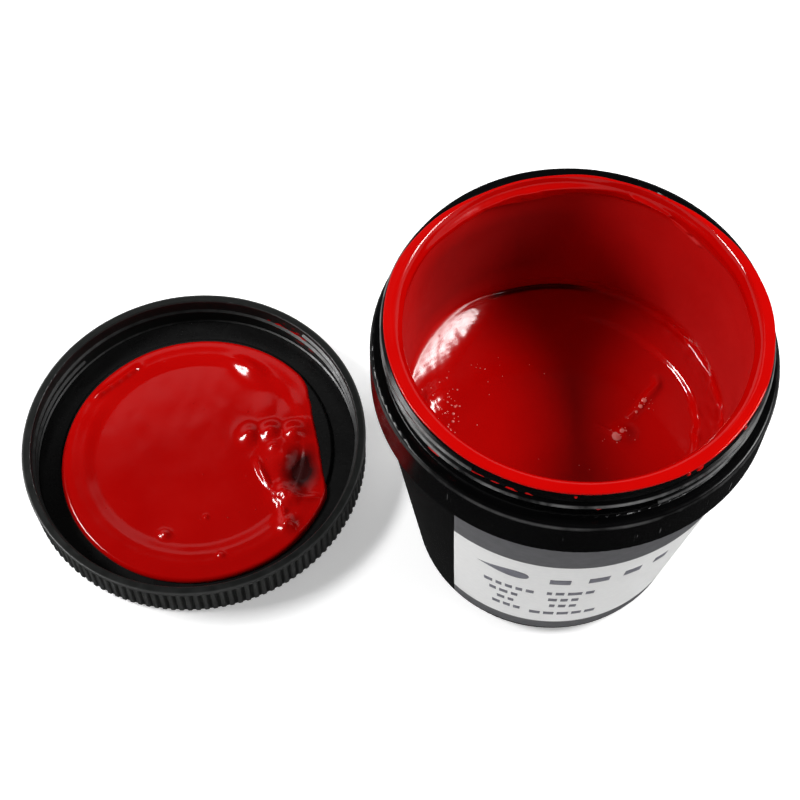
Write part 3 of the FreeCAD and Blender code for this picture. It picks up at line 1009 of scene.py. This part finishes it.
def label(material):
    """Paper sleeve, very slightly uneven, on the tapered body."""
    z = np.linspace(LABEL_BOTTOM_Z, LABEL_TOP_Z, 60)[:, None]
    t = np.linspace(0, 1, 361)[None, :]
    gap = label_gap(z)
    azimuth = np.radians(LABEL_GAP_AZIMUTH + gap + (360 - 2 * gap) * t)
    uneven = 0.02 * ripple(azimuth * cone_r(z), z + 0 * t, 26, 61)
    outer = cone_r(z) + LABEL_THICKNESS + uneven
    inner = cone_r(z) + 0.01 + 0 * azimuth
    front = np.stack([outer * np.cos(azimuth), outer * np.sin(azimuth), z + 0 * t], -1)
    back = np.stack([inner * np.cos(azimuth), inner * np.sin(azimuth), z + 0 * t], -1)
    points, faces = sheet_solid(front, back)
    made = make_object("label_sleeve", points, faces, "jar", material)
    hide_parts("wraparound_label")
    return made


def printed_strip(azimuths, lower, upper, columns=16):
    """Thin raised strip of ink on the label. lower and upper give its edges' heights, by share."""
    t = np.linspace(0, 1, columns)
    azimuth = np.radians(azimuths[0] + (azimuths[1] - azimuths[0]) * t)[None, :]
    low = np.array([lower(x) for x in t])[None, :]
    high = np.array([upper(x) for x in t])[None, :]
    v = np.linspace(0, 1, 5)[:, None]
    z = low + (high - low) * v
    outer = cone_r(z) + LABEL_THICKNESS + 0.045
    inner = outer - 0.1
    front = np.stack([outer * np.cos(azimuth), outer * np.sin(azimuth), z], -1)
    back = np.stack([inner * np.cos(azimuth), inner * np.sin(azimuth), z], -1)
    return sheet_solid(front, back)


def bar(azimuth, z, width, height, slope=0.0):
    """One plain printed bar: width in degrees, height in millimetres."""
    return printed_strip(
        (azimuth, azimuth + width),
        lambda t: z + slope * t,
        lambda t: z + height + slope * t,
        6,
    )


def drop_mark():
    """A paint drop lying on its side: round at one end and pointed at the other."""
    def half_height(t):
        return 0.05 + 5.0 * math.sqrt(max(t * (1 - t), 0.0)) * 2 * t ** 0.9

    return printed_strip(
        (-111, -93),
        lambda t: 59.5 - half_height(t),
        lambda t: 59.5 + half_height(t),
        60,
    )


def label_print(material):
    """Generic print: a plain drop mark, short headings and rows of bars in place of words."""
    parts = [drop_mark()]
    for azimuth, z, width in ((-86, 55.5, 7.0), (-73, 56, 7.0), (-61, 56.5, 6.0), (-50, 57, 5.0)):
        parts.append(bar(azimuth, z, width, 4.6))
    rows = (
        (-109, 43.0, (3.2, 2.2, 2.6, 2.4, 2.8)),
        (-107, 36.0, (2.6, 3.2, 2.4)),
        (-104, 29.0, (3.0, 2.2)),
        (-106, 22.0, (3.2, 2.8, 2.6)),
        (-86, 43.5, (1.8, 3.0, 5.0, 3.0)),
        (-85, 36.5, (3.2, 2.6, 2.6)),
        (-84, 29.5, (2.0, 2.8, 2.6)),
        (-91, 20.5, (4.2, 4.0, 4.4, 3.8, 4.0)),
    )
    for start, z, widths in rows:
        azimuth = start
        for width in widths:
            parts.append(bar(azimuth, z, width, 3.0))
            azimuth += width + 1.3
    points, faces = joined(parts)
    return make_object("label_print", points, faces, "jar", material)


# ---------------------------------------------------------------- scene

def soft_light(name, place, target, size, power):
    """Rectangular white area light aimed at a point. Places in metres."""
    data = bpy.data.lights.new(name, "AREA")
    data.shape = "RECTANGLE"
    data.size, data.size_y = size
    data.energy = power
    made = bpy.data.objects.new(name, data)
    bpy.context.scene.collection.objects.link(made)
    made.location = place
    made.rotation_euler = (Vector(target) - Vector(place)).to_track_quat("-Z", "Y").to_euler()
    return made


def make_world():
    """Pale band round the horizon, dark overhead and underfoot, so that black stays black."""
    world = bpy.data.worlds.new("studio")
    world.use_nodes = True
    bpy.context.scene.world = world
    nodes = world.node_tree.nodes
    links = world.node_tree.links
    direction = nodes.new("ShaderNodeTexCoord").outputs["Generated"]
    split = nodes.new("ShaderNodeSeparateXYZ")
    links.new(direction, split.inputs["Vector"])
    over = spread(nodes, links, split.outputs["Z"], 0.30, 0.50, 1, 0)
    under = spread(nodes, links, split.outputs["Z"], -0.08, -0.02, 0, 1)
    band = product(nodes, links, over, under)
    links.new(
        two_colours(nodes, links, band, (0.03, 0.03, 0.03), (0.55, 0.55, 0.55)),
        nodes["Background"].inputs["Color"],
    )


def from_middle(azimuth, elevation, distance):
    """Place in metres, seen from the middle of the part."""
    a = math.radians(azimuth)
    e = math.radians(elevation)
    return (
        MIDDLE[0] + distance * math.cos(e) * math.cos(a),
        MIDDLE[1] + distance * math.cos(e) * math.sin(a),
        MIDDLE[2] + distance * math.sin(e),
    )


def make_stage():
    """Floor, lights and camera."""
    bpy.ops.mesh.primitive_plane_add(size=6, location=(0, 0, -0.00005))
    floor = bpy.context.object
    floor.name = "floor"
    floor.data.materials.append(table_top())
    floor.visible_glossy = False
    make_world()
    soft_light("lamp_right", from_middle(14, 42, 1.1), MIDDLE, (0.40, 0.20), 11)
    soft_light("lamp_left", from_middle(187, 42, 1.1), MIDDLE, (0.40, 0.19), 11.2)
    soft_light("pale_card", from_middle(116, 48.7, 1.0), MIDDLE, (0.36, 0.20), 0.14)
    overhead = soft_light("overhead", (-0.06, 0.05, 1.6), MIDDLE, (1.4, 1.4), 1.0)
    overhead.visible_glossy = False
    camera_data = bpy.data.cameras.new("camera")
    camera = bpy.data.objects.new("camera", camera_data)
    bpy.context.scene.collection.objects.link(camera)
    camera.location = [v * MM for v in CAMERA_PLACE]
    camera.rotation_euler = (math.radians(90 - CAMERA_PITCH), 0, math.radians(CAMERA_HEADING))
    camera_data.lens = CAMERA_LENS
    camera_data.sensor_width = 36
    camera_data.clip_start = 0.01
    camera_data.clip_end = 20
    bpy.context.scene.camera = camera
    bpy.context.scene.view_settings.view_transform = "Standard"


def repaint(node, material):
    """Gives a CAD node a finished material."""
    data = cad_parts[node].data
    data.materials.clear()
    data.materials.append(material)


make_stage()
paint = wet_paint()
repaint("jar_body", jar_plastic())
repaint("lid_shell", lid_plastic())
repaint("lid_liner", liner_sheet())
jar_paint(paint)
# Bubbles and froth, with painted glints on the bubbles.
foam = glint_foam()
pool_bubbles(foam)
liner_paint(paint)
liner_bubbles(paint)
neck_smears(paint)
lid_wall_smear(paint)
label(label_paper())
label_print(label_ink())
